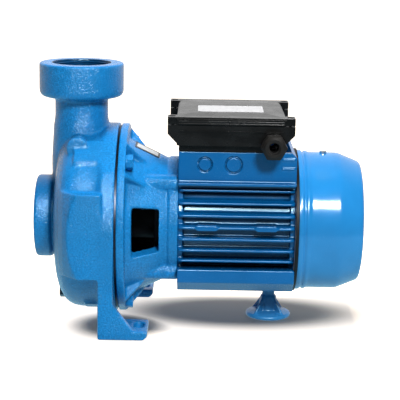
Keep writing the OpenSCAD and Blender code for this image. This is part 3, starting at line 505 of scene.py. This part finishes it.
def port_thread(name, mount):
    """Ridges of the pipe thread inside a port."""
    pitch = 2.309 * MM
    height = 1.1 * MM
    steps = 64
    wall = mount["dims"]["r_mm"] * MM + 0.2 * MM
    depth = mount["dims"]["length_mm"] * MM - 2 * MM
    axis = Vector(mount["axis"])
    turn = axis.to_track_quat("Z", "Y").to_matrix().to_4x4()
    place = Matrix.Translation(mount["pos_m"]) @ turn
    shape = bmesh.new()
    before = None
    total = int(depth / pitch * steps)
    for i in range(total + 1):
        a = 2 * math.pi * i / steps
        z = -1.2 * MM - pitch * i / steps
        grow = min(1, i / steps, (total - i) / steps)
        crest = wall - height * grow
        corners = [(wall, -pitch * 0.42), (crest, -pitch * 0.06), (crest, pitch * 0.06),
                   (wall, pitch * 0.42)]
        row = [shape.verts.new(place @ Vector((r * math.cos(a), r * math.sin(a), z + dz)))
               for r, dz in corners]
        if before:
            for j in range(4):
                shape.faces.new((before[j], before[(j + 1) % 4], row[(j + 1) % 4], row[j]))
        else:
            shape.faces.new(row)
        before = row
    shape.faces.new(before[::-1])
    bmesh.ops.recalc_face_normals(shape, faces=shape.faces)
    mesh = bpy.data.meshes.new(name)
    shape.to_mesh(mesh)
    shape.free()
    piece = add_piece(name, mesh, "pump_casing")
    # The thread ridges wear the ports' painted shade.
    mesh.materials[0] = BORE_SHADE_PAINT


port_thread("suction_thread", mounts["suction_port"])
port_thread("discharge_thread", mounts["discharge_port"])

# Width in millimetres of the softened edges of CAD nodes that keep their shape
SOFT_EDGES = {
    "box_lid": 0.7, "terminal_box": 0.7, "gland_nut": 0.5, "gland_body": 0.4, "casing_bolts": 0.5,
    "casing_washers": 0.3, "drain_plug": 0.6, "priming_plug": 0.6, "cover_ring": 0.5,
    "back_plate": 0.2, "rating_plate": 0.15, "lid_label": 0.05, "fan_cover_screws": 0.25, "lid_screws": 0.2,
    "cooling_fan": 0.3, "rear_shield": 0.5, "run_capacitor": 0.8, "terminal_board": 0.5,
    "terminal_nuts": 0.25, "shaft": 0.3, "impeller": 0.5, "impeller_nut": 0.4, "tie_rods": 0.3,
    "capacitor_clamp": 0.2, "slinger": 0.4,
}


def dress_cad_nodes():
    """Gives every CAD node its material, and softened edges where the real piece has them."""
    for name, item in nodes.items():
        item.data.materials.clear()
        item.data.materials.append(OWN_MATERIALS.get(name, MATERIALS[slot_of[name]]))
        if name in SOFT_EDGES:
            weld = item.modifiers.new("weld", "WELD")
            weld.merge_threshold = WELD_GAP
            bevel = item.modifiers.new("bevel", "BEVEL")
            bevel.width = SOFT_EDGES[name] * MM
            bevel.segments = 2
            bevel.limit_method = "ANGLE"
            bevel.angle_limit = math.radians(32)
            bevel.harden_normals = False
            normals = item.modifiers.new("normals", "WEIGHTED_NORMAL")
            normals.keep_sharp = True


dress_cad_nodes()

# ---------------------------------------------------------------- stage

# Brightness of the surroundings in reflections: in front, behind, and where the floor would be
FRONT_GLOW = 0.05
BACK_GLOW = 0.9
FLOOR_GLOW = 1.0
FLOOR_GLOW_TINT = (0.5, 0.9, 1.1)
# Share of that brightness which falls as soft light
SOFT_SHARE = 0.3
# Light that the floor throws up at the pump
FLOOR_FILL = 0.3
FLOOR_CARD = (0.9, 0.83, 0.73)
# What the floor shows to the camera: warm enough to cancel the blue that the pump throws into its shadow
WARM_WHITE = (1.15, 1.07, 1.0)
WARM_CARD = (0.93, 0.77, 0.58)
SHADOW_GLOW = 0.05
# Middle and half lengths of the two places where the floor shows the pump's shadow
SHADES = [((0.205, 0.008), (0.135, 0.06)), ((0.085, -0.045), (0.05, 0.045))]


def floor():
    """A pale floor, white away from the pump's shadow, and clear when seen from below."""
    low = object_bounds()[0].z
    mesh = bpy.data.meshes.new("floor")
    half = 6.0
    mesh.from_pydata([(-half, -half, low), (half, -half, low), (half, half, low), (-half, half, low)], [],
                     [(0, 1, 2, 3)])
    item = bpy.data.objects.new("floor", mesh)
    scene.collection.objects.link(item)
    s = Shader("floor_card")
    glow = 1.0
    for middle, reach in SHADES:
        away = s.node("ShaderNodeVectorMath", {"operation": "SUBTRACT"})
        s.set(away.inputs[0], s.place)
        away.inputs[1].default_value = (*middle, low)
        scaled = s.node("ShaderNodeVectorMath", {"operation": "DIVIDE"})
        s.set(scaled.inputs[0], away.outputs[0])
        scaled.inputs[1].default_value = (*reach, 1)
        far = s.node("ShaderNodeVectorMath", {"operation": "LENGTH"})
        s.set(far.inputs[0], scaled.outputs[0])
        glow = s.math("MINIMUM", glow, s.ramp(far.outputs["Value"], 0.55, 1.2, SHADOW_GLOW, 1.0))
    path = s.node("ShaderNodeLightPath").outputs
    shown = s.math("MULTIPLY", path["Is Camera Ray"], glow)
    fill = s.math("MULTIPLY", path["Is Diffuse Ray"], FLOOR_FILL)
    tint = s.mix(path["Is Camera Ray"], (1, 1, 1), WARM_WHITE)
    card = s.mix(path["Is Camera Ray"], FLOOR_CARD, WARM_CARD)
    s.finish(Base_Color=card, Roughness=0.6, Specular_IOR_Level=0.2, Emission_Color=tint,
             Emission_Strength=s.math("ADD", shown, fill))
    below = s.node("ShaderNodeNewGeometry").outputs["Backfacing"]
    clear = s.node("ShaderNodeBsdfTransparent").outputs["BSDF"]
    shown_side = s.node("ShaderNodeMixShader")
    for socket, value in zip(shown_side.inputs, (below, s.bsdf.outputs["BSDF"], clear)):
        s.set(socket, value)
    s.set(s.tree.nodes["Material Output"].inputs["Surface"], shown_side.outputs[0])
    mesh.materials.append(s.material)
    item.visible_glossy = False
    item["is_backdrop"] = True


def area_light(name, place, aim, size, power):
    data = bpy.data.lights.new(name, "AREA")
    data.energy = power
    data.size = size
    item = bpy.data.objects.new(name, data)
    scene.collection.objects.link(item)
    item.location = place
    item.rotation_mode = "QUATERNION"
    item.rotation_quaternion = (Vector(aim) - Vector(place)).to_track_quat("-Z", "Y")
    return item


def sky():
    """White to the camera. To reflections: white behind, dark in front, pale where the floor would be."""
    world = bpy.data.worlds.new("sky")
    scene.world = world
    w = Nodes(world)
    split = w.node("ShaderNodeSeparateXYZ", Vector=w.node("ShaderNodeTexCoord").outputs["Generated"])
    path = w.node("ShaderNodeLightPath").outputs
    seen = path["Is Camera Ray"]
    glossy = path["Is Glossy Ray"]
    behind = w.ramp(split.outputs["Y"], -0.2, 0.7, FRONT_GLOW, BACK_GLOW)
    behind = w.math("MULTIPLY", behind, w.ramp(glossy, 0, 1, SOFT_SHARE, 1))
    below = w.ramp(split.outputs["Z"], -0.30, -0.22, FLOOR_GLOW, 0)
    strength = w.math("MAXIMUM", w.math("MAXIMUM", behind, below), seen)
    background = w.tree.nodes["Background"]
    w.set(background.inputs["Color"], w.mix(w.math("MULTIPLY", glossy, below), (1, 1, 1), FLOOR_GLOW_TINT))
    w.set(background.inputs["Strength"], strength)


def leave_out(light, items):
    """Keeps a light off these objects."""
    skipped = bpy.data.collections.new(light.name + "_skips")
    for item in items:
        skipped.objects.link(item)
    for member in skipped.collection_objects:
        member.light_linking.link_state = "EXCLUDE"
    light.light_linking.receiver_collection = skipped


def studio():
    """A key light, a light overhead, a small one for highlights, and a soft one behind."""
    middle = (0.16, 0, 0.02)
    key = area_light("key", (0.54, -1.28, 0.98), middle, 0.3, 33)
    overhead = area_light("overhead", (0.2, 0.05, 1.35), (0.2, 0.0, 0.0), 0.35, 24)
    overhead.visible_glossy = False
    front = area_light("front", (0.03, -1.25, 0.75), middle, 0.14, 24)
    front.visible_diffuse = False
    rear = area_light("rear", (-0.1, 1.3, 0.7), middle, 0.5, 9)
    rear.visible_glossy = False
    # The floor shows the overhead light's shadow alone, and the small light skips the bracket and the box
    card = bpy.data.objects["floor"]
    leave_out(rear, [card])
    leave_out(key, [card])
    leave_out(front, [card, bracket] + [nodes[n] for n in ("terminal_box", "box_lid", "gland_nut")])


def camera():
    """A long lens a little above the shaft, square to the pump's side."""
    data = bpy.data.cameras.new("camera")
    item = bpy.data.objects.new("camera", data)
    scene.collection.objects.link(item)
    eye = Vector((0.162, -1.282, 0.298))
    aim = Vector((0.162, 0, 0.018))
    item.location = eye
    item.rotation_mode = "QUATERNION"
    roll = Matrix.Rotation(math.radians(1.0), 4, "Z").to_quaternion()
    item.rotation_quaternion = (aim - eye).to_track_quat("-Z", "Y") @ roll
    data.sensor_width = 36
    data.lens = (aim - eye).length / 0.4 * data.sensor_width
    data.clip_start = 0.01
    scene.camera = item


floor()
sky()
studio()
camera()
scene.view_settings.view_transform = "Standard"
